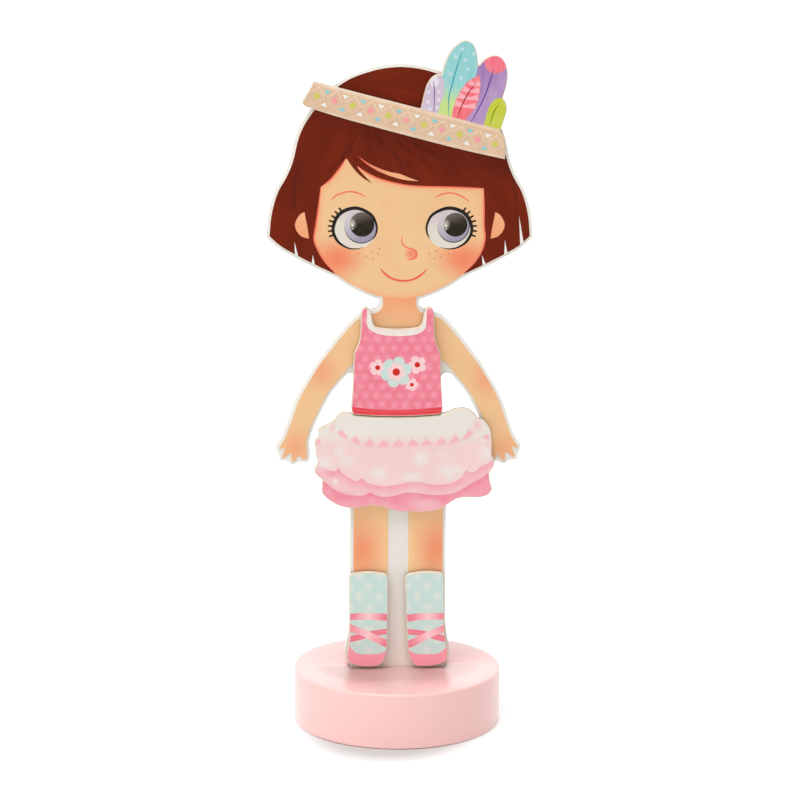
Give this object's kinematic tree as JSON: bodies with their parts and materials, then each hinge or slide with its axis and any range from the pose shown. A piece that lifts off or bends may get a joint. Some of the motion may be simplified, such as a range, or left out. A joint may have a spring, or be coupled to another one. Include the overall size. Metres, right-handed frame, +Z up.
{
  "type": "wooden dress-up doll",
  "caption": "Flat printed wooden doll that stands in the slot of a round stand and wears magnetic wooden garments that lift off its front.",
  "frame": {"origin": "centre of the stand's flat underside, where it meets the table", "axes": "+Z up along the doll, -Y the way the doll's printed front faces, +X the viewer's right"},
  "size_m": [0.0942, 0.075, 0.2466],
  "materials": {
    "pink_paint": "satin pink paint",
    "white_paint": "satin white paint",
    "doll_print": "satin printed sheet, skin and hair colours",
    "headband_print": "satin printed sheet, tan with coloured pattern",
    "top_print": "satin printed sheet, dotted pink",
    "skirt_print": "satin printed sheet, cream and pink ruffles",
    "shoe_print": "satin printed sheet, dotted mint with pink ribbons",
    "bare_wood": "bare light wood",
    "steel": "plain steel",
    "magnet": "nickel plated"
  },
  "bodies": {
    "stand": {"stand": "pink_paint"},
    "doll": {"doll_board": "white_paint", "doll_print": "doll_print", "headband_left_disc": "steel", "headband_right_disc": "steel", "top_left_disc": "steel", "top_right_disc": "steel", "skirt_left_disc": "steel", "skirt_right_disc": "steel", "left_shoe_disc": "steel", "right_shoe_disc": "steel"},
    "headband": {"headband_board": "bare_wood", "headband_print": "headband_print", "headband_left_magnet": "magnet", "headband_right_magnet": "magnet"},
    "top": {"top_board": "bare_wood", "top_print": "top_print", "top_left_magnet": "magnet", "top_right_magnet": "magnet"},
    "skirt": {"skirt_board": "bare_wood", "skirt_print": "skirt_print", "skirt_left_magnet": "magnet", "skirt_right_magnet": "magnet"},
    "left_shoe": {"left_shoe_board": "bare_wood", "left_shoe_print": "shoe_print", "left_shoe_magnet": "magnet"},
    "right_shoe": {"right_shoe_board": "bare_wood", "right_shoe_print": "shoe_print", "right_shoe_magnet": "magnet"}
  },
  "joints": [
    {"name": "doll_lift", "type": "slide", "parent": "stand", "child": "doll", "axis": [0, 0, 1], "range_m": [0, 0.02]},
    {"name": "headband_pull", "type": "slide", "parent": "doll", "child": "headband", "axis": [0, -1, 0], "range_m": [0, 0.03]},
    {"name": "top_pull", "type": "slide", "parent": "doll", "child": "top", "axis": [0, -1, 0], "range_m": [0, 0.03]},
    {"name": "skirt_pull", "type": "slide", "parent": "doll", "child": "skirt", "axis": [0, -1, 0], "range_m": [0, 0.03]},
    {"name": "left_shoe_pull", "type": "slide", "parent": "doll", "child": "left_shoe", "axis": [0, -1, 0], "range_m": [0, 0.03]},
    {"name": "right_shoe_pull", "type": "slide", "parent": "doll", "child": "right_shoe", "axis": [0, -1, 0], "range_m": [0, 0.03]}
  ]
}
